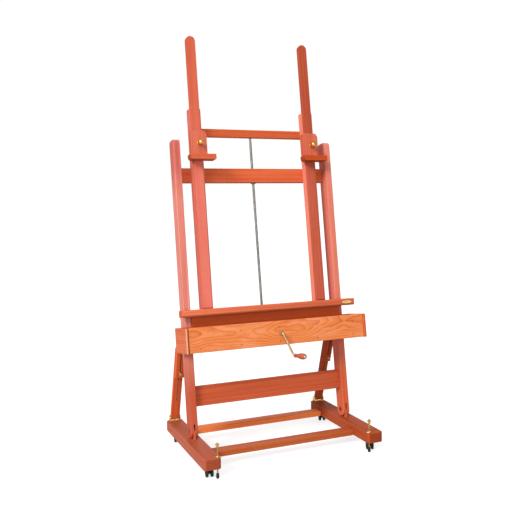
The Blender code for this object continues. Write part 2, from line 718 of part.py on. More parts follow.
# ---------------------------------------------------------------- rear stays
lug_world = from_frame(0.0, LUG_D, LUG_S)
reach_y = STAY_PIN.y - lug_world.y
reach_z = lug_world.z - STAY_PIN.z
span = math.hypot(reach_y, reach_z)
offset = (LOWER_BAR + UPPER_BAR) / 2 + BAR_GAP
LEAN = math.atan2(reach_y, reach_z) - math.asin(offset / span)
for side, sign in SIDES:
    lean = Matrix.Rotation(LEAN, 4, "X")
    at = Matrix.Translation((sign * STAY_X, STAY_PIN.y, STAY_PIN.z)) @ lean
    half = LOWER_BAR / 2
    outline = arc((0.0, 0.0), half, 180, 360, 8)
    outline += arc((0.0, LOWER_LENGTH - half), half, 0, 180, 8)
    lower = make(
        "stay_lower_" + side,
        prism(outline, -STAY_HALF, STAY_HALF, "X", 0.0010),
        at,
        BEECH_RAIL,
    )
    long_slot = rounded_rectangle(-SLOT_HALF, SLOT_HALF, 0.075, 0.285, [0.0020] * 4, 4)
    cut(lower, prism(long_slot, -0.1, 0.1, "Y"), at, "slot")
    cut(lower, round_hole(PIN_RADIUS + 0.0004, -0.1, 0.1, "X", 16), at, "pin_hole")

    at = Matrix.Translation((sign * STAY_X, lug_world.y, lug_world.z)) @ lean
    half = UPPER_BAR / 2
    outline = arc((0.0, 0.0), half, 0, 180, 8)
    outline += [(-half, -UPPER_END), (half, -UPPER_END)]
    upper_bar = make(
        "stay_upper_" + side,
        prism(outline, -STAY_HALF, STAY_HALF, "X", 0.0010),
        at,
        BEECH_RAIL,
    )
    cut(upper_bar, slab((-0.0042, -0.1, -0.024), (0.0042, 0.1, 0.1)), at, "fork")
    short_slot = rounded_rectangle(
        -SLOT_HALF, SLOT_HALF, -UPPER_BOLT - 0.0021, -0.045, [0.0020] * 4, 4
    )
    cut(upper_bar, prism(short_slot, -0.1, 0.1, "Y"), at, "slot")
    cut(upper_bar, round_hole(PIN_RADIUS + 0.0004, -0.1, 0.1, "X", 16), at, "pin_hole")

    # clamping bolt with a ball knob in front and a square-shouldered head behind
    at = at @ Matrix.Translation((0.0, 0.0, -UPPER_BOLT))
    face = -half - GAP
    rear = offset + LOWER_BAR / 2 + 0.0016
    knob = [(face - 0.0105 - 0.0062 * math.cos(math.pi * i / 8), 0.0062 * math.sin(math.pi * i / 8))
            for i in range(7)]
    knob[0] = (knob[0][0], 0.0)
    knob += [(face - 0.0046, 0.0038), (face - 0.0014, 0.0038), (face - 0.0012, 0.0058)]
    knob += [(face, 0.0058), (face, CLAMP_BOLT), (rear, CLAMP_BOLT), (rear, 0.0060)]
    knob += [(rear + 0.0025, 0.0050), (rear + 0.0025, 0.0)]
    make("stay_knob_" + side, turned(knob, "Y", 20), at, BRASS)
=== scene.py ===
"""Looks of the crank-driven studio easel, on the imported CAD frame."""

import json
import math
import random

import bmesh
import bpy
from mathutils import Euler, Matrix, Vector


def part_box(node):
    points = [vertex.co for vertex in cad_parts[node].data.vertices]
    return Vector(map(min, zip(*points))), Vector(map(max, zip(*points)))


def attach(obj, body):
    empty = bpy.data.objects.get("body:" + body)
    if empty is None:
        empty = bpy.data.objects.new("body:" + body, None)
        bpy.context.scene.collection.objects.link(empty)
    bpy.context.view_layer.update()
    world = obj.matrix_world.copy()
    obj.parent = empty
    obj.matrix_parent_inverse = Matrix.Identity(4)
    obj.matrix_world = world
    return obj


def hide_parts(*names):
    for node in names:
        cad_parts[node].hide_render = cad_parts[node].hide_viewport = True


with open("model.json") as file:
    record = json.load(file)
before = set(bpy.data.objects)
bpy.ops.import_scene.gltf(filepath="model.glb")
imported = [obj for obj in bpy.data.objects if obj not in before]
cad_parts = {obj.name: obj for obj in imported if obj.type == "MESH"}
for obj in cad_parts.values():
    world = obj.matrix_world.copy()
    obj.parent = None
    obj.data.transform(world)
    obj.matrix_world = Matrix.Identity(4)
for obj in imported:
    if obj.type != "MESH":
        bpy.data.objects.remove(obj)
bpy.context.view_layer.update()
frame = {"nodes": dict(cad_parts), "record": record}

NODES = frame["nodes"]
SIDES = (("left", -1.0), ("right", 1.0))
TILT = math.radians(8.5)  # lean of the frame at rest
ORIGIN = Vector((0.0, -0.032, 0.071))  # foot of the tilted frame
RAIL_TOP = 0.0713  # fittings on the side rails stand a little above the wood
POST_X = 0.3015
STAY_X = 0.305
CASTOR_X, CASTOR_Y = 0.305, 0.182
CASTOR_TURN = {"front_left": -9.0, "front_right": -22.0, "rear_left": -8.0, "rear_right": -18.0}
STAY_LEAN = math.radians(17.606)  # forward lean of the rear stays
CAMERA_PLACE = (-1.0086, -2.2866, 0.8958)
CAMERA_LENS = 48.95
CAMERA_TURN = (22.696, 4.548, -0.7233)  # yaw to the right, pitch down and roll, in degrees
BACKDROP = 1.02  # strength of the white that the camera sees
WORLD_FILL = 0.62  # strength of the surround that lights the easel
SUN_STRENGTH = 3.7
SOFTBOX = 19.0
FRONT_FILL = 50.0
BACK_FILL = 24.0
LIGHTS_AIM = Vector((0.0, 0.0, 0.7))


def from_frame(x, d, s):
    """A point of the tilted frame: x to the right, d back and s up along the posts."""
    back = Vector((0.0, math.cos(TILT), -math.sin(TILT)))
    up = Vector((0.0, math.sin(TILT), math.cos(TILT)))
    return ORIGIN + Vector((x, 0.0, 0.0)) + back * d + up * s


def frame_matrix(x, d, s):
    return Matrix.Translation(from_frame(x, d, s)) @ Matrix.Rotation(-TILT, 4, "X")


# ------------------------------------------------------------------ camera and light
def camera():
    """The camera of the photograph, fitted to straight edges of the easel."""
    yaw, pitch, roll = (math.radians(angle) for angle in CAMERA_TURN)
    forward = Vector((math.sin(yaw) * math.cos(pitch), math.cos(yaw) * math.cos(pitch), -math.sin(pitch)))
    level = Vector((math.cos(yaw), -math.sin(yaw), 0.0))
    upright = level.cross(forward)
    right = level * math.cos(roll) + upright * math.sin(roll)
    up = upright * math.cos(roll) - level * math.sin(roll)
    data = bpy.data.cameras.new("camera")
    data.sensor_width = 36.0
    data.lens = CAMERA_LENS
    data.clip_end = 200.0
    obj = bpy.data.objects.new("camera", data)
    turn = Matrix((right, up, -forward)).transposed()
    obj.matrix_world = Matrix.Translation(CAMERA_PLACE) @ turn.to_4x4()
    bpy.context.scene.collection.objects.link(obj)
    bpy.context.scene.camera = obj


def direction(azimuth, elevation):
    """From the easel towards a light; azimuth 0 is straight in front, and positive is to the right."""
    a, e = math.radians(azimuth), math.radians(elevation)
    return Vector((math.sin(a) * math.cos(e), -math.cos(a) * math.cos(e), math.sin(e)))


def area_light(name, azimuth, elevation, distance, size, energy):
    data = bpy.data.lights.new(name, "AREA")
    data.shape = "DISK"
    data.size = size
    data.energy = energy
    obj = bpy.data.objects.new(name, data)
    away = direction(azimuth, elevation)
    turn = away.to_track_quat("Z", "Y").to_matrix().to_4x4()
    obj.matrix_world = Matrix.Translation(LIGHTS_AIM + away * distance) @ turn
    bpy.context.scene.collection.objects.link(obj)


def sun(name, azimuth, elevation, strength, spread):
    data = bpy.data.lights.new(name, "SUN")
    data.energy = strength
    data.angle = math.radians(spread)
    obj = bpy.data.objects.new(name, data)
    away = direction(azimuth, elevation)
    obj.matrix_world = away.to_track_quat("Z", "Y").to_matrix().to_4x4()
    bpy.context.scene.collection.objects.link(obj)


def studio():
    """A soft sun from the front left, a near softbox for the upper half, weak lights from in front
    and behind, a white surround and a pale floor."""
    scene = bpy.context.scene
    scene.view_settings.view_transform = "Standard"
    world = bpy.data.worlds.new("studio")
    world.use_nodes = True
    tree = world.node_tree
    backdrop = tree.nodes["Background"]
    backdrop.inputs["Color"].default_value = (1.0, 1.0, 1.0, 1.0)
    backdrop.inputs["Strength"].default_value = BACKDROP
    surround = tree.nodes.new("ShaderNodeBackground")
    surround.inputs["Color"].default_value = (0.97, 0.985, 1.0, 1.0)
    surround.inputs["Strength"].default_value = WORLD_FILL
    seen = tree.nodes.new("ShaderNodeLightPath")
    choice = tree.nodes.new("ShaderNodeMixShader")
    tree.links.new(seen.outputs["Is Camera Ray"], choice.inputs[0])
    tree.links.new(surround.outputs[0], choice.inputs[1])
    tree.links.new(backdrop.outputs[0], choice.inputs[2])
    tree.links.new(choice.outputs[0], tree.nodes["World Output"].inputs["Surface"])
    scene.world = world
    sun("key", -61, 32, SUN_STRENGTH, 20)
    area_light("softbox", -25, 52, 2.6, 1.4, SOFTBOX)
    area_light("front_fill", -18, 7, 3.4, 1.2, FRONT_FILL)
    area_light("back_fill", 160, 20, 3.6, 1.8, BACK_FILL)
    bm = bmesh.new()
    bmesh.ops.create_circle(bm, cap_ends=True, segments=96, radius=60.0)
    mesh = bpy.data.meshes.new("floor")
    bm.to_mesh(mesh)
    bm.free()
    floor = bpy.data.objects.new("floor", mesh)
    floor.visible_diffuse = False
    scene.collection.objects.link(floor)
    mesh.materials.append(floor_material())


# ------------------------------------------------------------------ materials
class Graph:
    """Short hand for a material's nodes."""

    def __init__(self, name):
        self.material = bpy.data.materials.new(name)
        self.material.use_nodes = True
        self.tree = self.material.node_tree
        self.shader = self.tree.nodes["Principled BSDF"]

    def node(self, kind, inputs=(), **settings):
        made = self.tree.nodes.new("ShaderNode" + kind)
        for key, value in settings.items():
            setattr(made, key, value)
        for key, value in dict(inputs).items():
            if isinstance(value, bpy.types.NodeSocket):
                self.tree.links.new(value, made.inputs[key])
            else:
                made.inputs[key].default_value = value
        return made

    def math(self, operation, first, second=0.0):
        return self.node("Math", {0: first, 1: second}, operation=operation).outputs[0]

    def scaled(self, vector, scale):
        return self.node("Mapping", {"Vector": vector, "Scale": scale}).outputs[0]

    def noise(self, vector, scale, detail=3.0, roughness=0.5):
        inputs = {"Vector": vector, "Scale": scale, "Detail": detail, "Roughness": roughness}
        return self.node("TexNoise", inputs).outputs["Fac"]

    def ramp(self, factor, *stops):
        made = self.node("ValToRGB", {"Fac": factor})
        elements = made.color_ramp.elements
        while len(elements) < len(stops):
            elements.new(0.5)
        for element, (place, colour) in zip(elements, stops):
            element.position = place
            element.color = (*colour, 1.0)
        return made.outputs["Color"]

    def span(self, factor, low, high, to_low=0.0, to_high=1.0):
        inputs = {"Value": factor, "From Min": low, "From Max": high, "To Min": to_low, "To Max": to_high}
        return self.node("MapRange", inputs).outputs[0]

    def mix(self, factor, first, second, blend="MIX"):
        made = self.node("Mix", data_type="RGBA", blend_type=blend)
        for key, value in ((0, factor), (6, first), (7, second)):
            if isinstance(value, bpy.types.NodeSocket):
                self.tree.links.new(value, made.inputs[key])
            elif key:
                made.inputs[key].default_value = (*value, 1.0)
            else:
                made.inputs[key].default_value = value
        return made.outputs[2]

    def edges(self, radius, sharp=0.25):
        """1 along the outer edges, 0 on the faces."""
        round_normal = self.node("Bevel", {"Radius": radius}, samples=6).outputs[0]
        true_normal = self.node("NewGeometry").outputs["True Normal"]
        return self.span(self.dot(round_normal, true_normal), 1.0, 1.0 - sharp)

    def dot(self, first, second):
        return self.node("VectorMath", {0: first, 1: second}, operation="DOT_PRODUCT").outputs["Value"]

    def component(self, vector, axis):
        return self.node("SeparateXYZ", {"Vector": vector}).outputs[axis]

    def bump(self, height, strength, distance):
        return self.node("Bump", {"Height": height, "Strength": strength, "Distance": distance}).outputs[0]

    def link(self, socket, name):
        self.tree.links.new(socket, self.shader.inputs[name])

    def set(self, **values):
        for key, value in values.items():
            self.shader.inputs[key.replace("_", " ")].default_value = value


def grey(level):
    return (level, level, level)


def floor_material():
    g = Graph("floor_paper")
    where = g.node("TexCoord").outputs["Object"]
    tone = g.noise(where, 3.0, 4.0)
    g.link(g.ramp(tone, (0.3, grey(0.35)), (0.7, grey(0.37))), "Base Color")
    g.link(g.bump(g.noise(where, 400.0, 2.0), 0.05, 0.0005), "Normal")
    g.set(Roughness=0.9, Specular_IOR_Level=0.1)
    g.set(Emission_Color=(1.0, 1.0, 1.0, 1.0), Emission_Strength=0.70)
    return g.material


# turns that bring each way of the grain onto z
GRAIN = {
    "up": (TILT, 0.0, 0.0),
    "across": (TILT, -math.pi / 2, 0.0),
    "deep": (math.pi / 2, 0.0, 0.0),
    "out": (TILT + math.pi / 2, 0.0, 0.0),
    "level": (0.0, -math.pi / 2, 0.0),
    "upright": (0.0, 0.0, 0.0),
    "stay": (-STAY_LEAN, 0.0, 0.0),
}
DARK_LINE = (0.76, 0.58, 0.50)
LIGHT_WOOD = (1.14, 1.36, 1.45)
# stops of the tone along a ramp from a dark line through the middle to the light wood
TONE_STOPS = (0.12, 0.54, 0.95)


def dimmed(colour, share):
    return tuple(c * share for c in colour)


def shades(middle):
    """Dark line, middle and light of one piece of wood, from its middle."""
    dark = tuple(c * k for c, k in zip(middle, DARK_LINE))
    light = tuple(min(1.0, c * k) for c, k in zip(middle, LIGHT_WOOD))
    return dark, middle, light


def growth_rings(g, where, ring, swirl, stretch, phase):
    """1 in the pale early wood of each ring, falling to 0 at its dark line."""
    settings = {"wave_type": "RINGS", "rings_direction": "Z", "wave_profile": "SAW"}
    inputs = {
        "Vector": g.scaled(where, (1.0, 1.0, stretch)),
        "Scale": 2 * math.pi / 20 / ring,
        "Distortion": swirl,
        "Detail": 2.0,
        "Detail Scale": 0.16,
        "Detail Roughness": 0.55,
        "Phase Offset": phase,
    }
    saw = g.node("TexWave", inputs, **settings).outputs["Fac"]
    return g.span(g.math("POWER", saw, 2.2), 0.0, 1.0, 1.0, 0.0)


def wood(name, middle, grain, centre, seed, ring=0.009, pith=(0.035, 0.06), swirl=5.0, figure=0.34,
         stretch=0.16, fades=(), mottle=None, pale_end=None, pale_side=None, joints=()):
    """Oiled wood whose grain runs along one way, its growth rings round a pith beside the board.
    fades are (start, stop, other middle): how the colour changes along the grain; on the posts
    this paints a sheen higher up and shade towards the foot. The side tone is painted light: the
    face towards -x is coloured as if lit from the left. mottle is a colour that shows through in
    drifts. The end colour is a painted highlight on end grain. The joint places are (inside,
    outside) along x, where a painted shadow darkens the seam."""
    g = Graph(name)
    dark, middle, light = shades(middle)
    turn = Euler(grain)
    chance = random.Random(seed)
    place = turn.to_matrix() @ Vector(centre)
    along = chance.uniform(3.0, 9.0)
    offset = Vector((pith[0], pith[1], along + place.z)) - place
    coordinates = g.node("TexCoord")
    normal = coordinates.outputs["Normal"]
    mapping = {"Vector": coordinates.outputs["Object"], "Rotation": tuple(turn), "Location": tuple(offset)}
    where = g.node("Mapping", mapping).outputs[0]

    growth = growth_rings(g, where, ring, swirl, stretch, chance.uniform(0, 6))
    streaks = g.noise(g.scaled(where, (70.0, 70.0, 2.4)), 1.0, 4.0, 0.62)
    broad = g.noise(g.scaled(where, (11.0, 11.0, 1.8)), 1.0, 2.0)
    fibres = g.noise(g.scaled(where, (900.0, 900.0, 22.0)), 1.0, 3.0, 0.7)
    rays = g.noise(g.scaled(where, (420.0, 420.0, 110.0)), 1.0, 1.0)
    tone_at = g.math("MULTIPLY", growth, figure)
    tone_at = g.math("ADD", tone_at, g.math("MULTIPLY", streaks, 0.95 - figure * 0.7))
    tone_at = g.math("ADD", tone_at, g.math("MULTIPLY", g.math("SUBTRACT", broad, 0.5), 0.6))

    colour = g.ramp(tone_at, *zip(TONE_STOPS, (dark, middle, light)))
    # painted light: faces towards -x take their own lighter side tone, as if lit from the left
    if pale_side:
        side = g.ramp(tone_at, (0.12, dimmed(pale_side, 0.86)), (0.9, pale_side))
        colour = g.mix(g.span(g.component(normal, "X"), -0.55, -0.85), colour, side)
    height = g.component(where, "Z") if fades else None
    origin = (turn.to_matrix() @ ORIGIN).z
    for start, stop, other in fades:
        share = g.span(height, along + origin + start, along + origin + stop)
        colour = g.mix(share, colour, g.ramp(tone_at, *zip(TONE_STOPS, shades(other))))
    if mottle:
        drift = g.noise(g.scaled(where, (34.0, 34.0, 9.0)), 1.0, 3.0, 0.55)
        drifts = g.ramp(tone_at, (0.12, middle), (0.8, mottle))
        colour = g.mix(g.span(drift, 0.42, 0.66, 0.0, 0.75), colour, drifts)

    axis = turn.to_matrix().transposed() @ Vector((0.0, 0.0, 1.0))
    facing = g.math("ABSOLUTE", g.dot(normal, tuple(axis)))
    end_grain = g.span(facing, 0.80, 0.95, 0.0, 0.40)
    # painted highlight: where an end colour is given, end faces are painted lighter; otherwise end grain is
    # darker
    if pale_end:
        colour = g.mix(g.math("MULTIPLY", end_grain, 2.2), colour, pale_end)
    else:
        colour = g.mix(end_grain, colour, dimmed(dark, 0.60))
    # painted shadow: dark lines at the given places along x, standing in for the shade where the box sides
    # stand proud of the front
    across = g.component(coordinates.outputs["Object"], "X") if joints else None
    for inside, outside in joints:
        colour = g.mix(g.span(across, inside, outside, 0.0, 0.72), colour, dimmed(dark, 0.30))

    colour = g.mix(g.span(fibres, 0.52, 0.75, 0.0, 0.40), colour, (0.66, 0.52, 0.45), "MULTIPLY")
    colour = g.mix(g.span(rays, 0.60, 0.70, 0.0, 0.30), colour, (0.66, 0.50, 0.42), "MULTIPLY")
    worn = g.math("MULTIPLY", g.edges(0.0020), g.span(streaks, 0.35, 0.65, 0.10, 0.55))
    colour = g.mix(worn, colour, tuple(min(1.0, c * 1.15 + 0.015) for c in light))
    g.link(colour, "Base Color")
    g.link(g.span(streaks, 0.3, 0.7, 0.58, 0.44), "Roughness")
    relief = g.math("ADD", g.math("MULTIPLY", fibres, 0.6), g.math("MULTIPLY", growth, 0.4))
    g.link(g.bump(relief, 0.22, 0.0004), "Normal")
    g.set(Specular_IOR_Level=0.04)
    return g.material


def metal(name, deep, bright, roughness, speckle=260.0):
    """Metal with tarnish in spots and clouds, brighter where its edges are worn."""
    g = Graph(name)
    where = g.node("TexCoord").outputs["Object"]
    tarnish = g.noise(where, speckle, 4.0, 0.6)
    clouds = g.noise(where, speckle * 0.18, 3.0)
    patches = g.math("ADD", g.math("MULTIPLY", tarnish, 0.4), g.math("MULTIPLY", clouds, 0.6))
    colour = g.ramp(patches, (0.30, deep), (0.62, bright))
    rubbed = tuple(min(1.0, c * 1.15 + 0.05) for c in bright)
    colour = g.mix(g.math("MULTIPLY", g.edges(0.0006, 0.3), 0.5), colour, rubbed)
    g.link(colour, "Base Color")
    g.link(g.span(tarnish, 0.3, 0.7, roughness * 1.3, roughness * 0.75), "Roughness")
    g.link(g.bump(g.noise(where, speckle * 9, 2.0), 0.08, 0.0001), "Normal")
    g.set(Metallic=1.0)
    return g.material


def moulded(name, deep, bright, roughness, grit):
    """Moulded plastic or rubber with a fine grit and a little dust."""
    g = Graph(name)
    where = g.node("TexCoord").outputs["Object"]
    speckle = g.noise(where, grit, 3.0, 0.6)
    dust = g.noise(where, 70.0, 3.0)
    patches = g.math("ADD", g.math("MULTIPLY", speckle, 0.5), g.math("MULTIPLY", dust, 0.5))
    colour = g.ramp(patches, (0.35, deep), (0.70, bright))
    rubbed = tuple(c * 1.8 + 0.004 for c in bright)
    colour = g.mix(g.math("MULTIPLY", g.edges(0.0008), 0.4), colour, rubbed)
    g.link(colour, "Base Color")
    g.link(g.span(dust, 0.3, 0.7, roughness * 0.85, min(1.0, roughness * 1.15)), "Roughness")
    g.link(g.bump(speckle, 0.15, 0.0003), "Normal")
    g.set(Specular_IOR_Level=0.18)
    return g.material


BRASS = metal("brass", (0.36, 0.175, 0.045), (0.62, 0.33, 0.09), 0.40)
AGED_BRASS = metal("aged_brass", (0.24, 0.105, 0.030), (0.44, 0.22, 0.075), 0.42)
ROD_BRASS = metal("rod_brass", (0.27, 0.145, 0.050), (0.52, 0.31, 0.115), 0.42)
PLATE_BRASS = metal("plate_brass", (0.62, 0.42, 0.15), (0.90, 0.67, 0.28), 0.42)
OLD_BRASS = metal("old_brass", (0.42, 0.25, 0.080), (0.74, 0.50, 0.19), 0.36)
CRANK_METAL = metal("worn_bronze", (0.25, 0.145, 0.065), (0.54, 0.37, 0.19), 0.46)
BRONZE = metal("dark_bronze", (0.055, 0.035, 0.022), (0.16, 0.10, 0.060), 0.42)
STEEL = metal("plain_steel", (0.125, 0.112, 0.102), (0.29, 0.265, 0.245), 0.40)
CAST = metal("cast_metal", (0.13, 0.12, 0.11), (0.24, 0.225, 0.21), 0.50, 500.0)
PLASTIC = moulded("black_plastic", (0.0025, 0.0025, 0.003), (0.007, 0.007, 0.008), 0.42, 2200.0)
TYRE = moulded("wheel_plastic", (0.004, 0.004, 0.004), (0.011, 0.011, 0.011), 0.46, 1800.0)
RUBBER = moulded("black_rubber", (0.006, 0.006, 0.006), (0.015, 0.0145, 0.014), 0.75, 1500.0)


def centre_of(node):
    low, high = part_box(node)
    return (low + high) / 2


BODY_OF = {
    node: body for body, members in frame["record"]["behaviour"]["bodies"].items() for node in members
}
# grain and middle tone of each piece of wood; left and right tones differ for several pieces
PINK = (0.50, 0.163, 0.125)
BASE = (0.305, 0.062, 0.029)
STAY = (0.48, 0.080, 0.022)
LOOKS = {
    "post_left": ("up", PINK),
    "post_right": ("up", (0.48, 0.136, 0.092)),
    "mast_left": ("up", (0.46, 0.106, 0.072)),
    "mast_right": ("up", (0.41, 0.092, 0.056)),
    "mast_extension_left": ("up", (0.465, 0.106, 0.072)),
    "mast_extension_right": ("up", (0.335, 0.063, 0.033)),
    "side_rail_left": ("deep", BASE),
    "side_rail_right": ("deep", (0.27, 0.046, 0.014)),
    "pivot_tongue_left": ("upright", (0.44, 0.085, 0.035)),
    "pivot_tongue_right": ("upright", (0.44, 0.085, 0.035)),
    "clamp_block_left": ("up", (0.405, 0.086, 0.049)),
    "clamp_block_right": ("up", (0.415, 0.089, 0.047)),
    "clamp_jaw_left": ("across", (0.39, 0.070, 0.027)),
    "clamp_jaw_right": ("across", (0.33, 0.045, 0.009)),
    "box_side_left": ("out", (0.465, 0.102, 0.037)),
    "box_side_right": ("out", (0.45, 0.090, 0.028)),
    "stay_lower_left": ("stay", STAY),
    "stay_lower_right": ("stay", (0.30, 0.042, 0.010)),
    "stay_upper_left": ("stay", STAY),
    "stay_upper_right": ("stay", (0.30, 0.042, 0.010)),
    "upper_rail": ("across", (0.44, 0.075, 0.026)),
    "lower_rail": ("across", (0.365, 0.062, 0.023)),
    "crossbar": ("across", (0.395, 0.069, 0.022)),
    "canvas_shelf": ("across", (0.485, 0.110, 0.049)),
    "apron": ("across", (0.47, 0.075, 0.019)),
    "box_front": ("across", (0.475, 0.122, 0.034)),
    "box_back": ("across", (0.46, 0.068, 0.022)),
    "box_bottom": ("across", (0.45, 0.090, 0.035)),
    "cross_rail_front": ("level", (0.315, 0.064, 0.0165)),
    # painted light: the rear cross rail gets a much lighter tone than the front one, to lift it out of the
    # shade behind the frame
    "cross_rail_rear": ("level", (0.62, 0.150, 0.041)),
    "crank_grip": ("out", (0.34, 0.090, 0.050)),
}
WOODS = {}


def wood_of(node):
    """The wood of a CAD node, made once."""
    if node in WOODS:
        return WOODS[node]
    grain, middle = LOOKS[node]
    seed = sum(ord(c) * (i + 3) for i, c in enumerate(node))
    chance = random.Random(seed)
    options = {"pith": (chance.uniform(-0.05, 0.05), chance.choice((-1, 1)) * chance.uniform(0.03, 0.09))}
    if node == "box_front":
        options = {"pith": (0.024, 0.058), "ring": 0.0052, "swirl": 34.0, "figure": 0.62, "stretch": 0.42}
        options["mottle"] = (0.57, 0.21, 0.095)
        # painted shadow lines at both ends of the box front, where the sides stand proud of it
        options["joints"] = ((-0.3340, -0.3352), (0.3352, 0.3360))
    elif node == "box_side_left":
        # painted highlight on the front end of the left box side
        options["pale_end"] = (0.60, 0.27, 0.15)
        # painted shadow line along the left box side's joint with the front
        options["joints"] = ((-0.3416, -0.3402),)
    elif node == "mast_right":
        # painted light: the right mast's face towards -x gets a much lighter tone, as if lit from the left
        options["pale_side"] = (0.60, 0.175, 0.115)
    elif node.startswith("post_"):
        # painted light on the right post's face towards -x
        if node.endswith("right"):
            options["pale_side"] = (0.53, 0.130, 0.092)
        # painted light and shade: the posts are pinker higher up, a painted sheen, and darker towards the
        # foot, painted shade below the box; the left post is also darker towards its top
        low = (0.35, 0.057, 0.025) if node.endswith("left") else (0.42, 0.075, 0.029)
        options["fades"] = [(0.38, 0.16, low)]
        if node.endswith("left"):
            options["fades"].append((0.84, 0.96, (0.405, 0.093, 0.071)))
    elif node.startswith("mast_extension"):
        tip = (0.38, 0.068, 0.034) if node.endswith("left") else (0.29, 0.049, 0.021)
        options["fades"] = [(0.85, 1.20, tip)]
    WOODS[node] = wood("wood_" + node, middle, GRAIN[grain], centre_of(node), seed, **options)
    return WOODS[node]


def paint(obj, material):
    obj.data.materials.clear()
    obj.data.materials.append(material)


# ------------------------------------------------------------------ mesh helpers
def arc(centre, radius, start, stop, steps):
    """Points of an arc, from one angle to another in degrees."""
    made = []
    for i in range(steps + 1):
        turn = math.radians(start + (stop - start) * i / steps)
        made.append((centre[0] + radius * math.cos(turn), centre[1] + radius * math.sin(turn)))
    return made


def circle(radius, steps):
    angles = [2 * math.pi * i / steps for i in range(steps)]
    return [(radius * math.cos(a), radius * math.sin(a)) for a in angles]


def rounded(u0, u1, v0, v1, radius, steps=5):
    """A rectangle with round corners."""
    made = []
    for cu, cv, start in ((u0, v0, 180), (u1, v0, 270), (u1, v1, 0), (u0, v1, 90)):
        centre = (cu + (radius if cu == u0 else -radius), cv + (radius if cv == v0 else -radius))
        made += arc(centre, radius, start, start + 90, steps)
    return made


def turn_to(axis):
    """Turns +Z onto an axis such as "x", "-y" or "z"."""
    way = {"x": Vector((1, 0, 0)), "y": Vector((0, 1, 0)), "z": Vector((0, 0, 1))}[axis[-1]]
    if axis[0] == "-":
        way = -way
    return Vector((0, 0, 1)).rotation_difference(way).to_matrix().to_4x4()


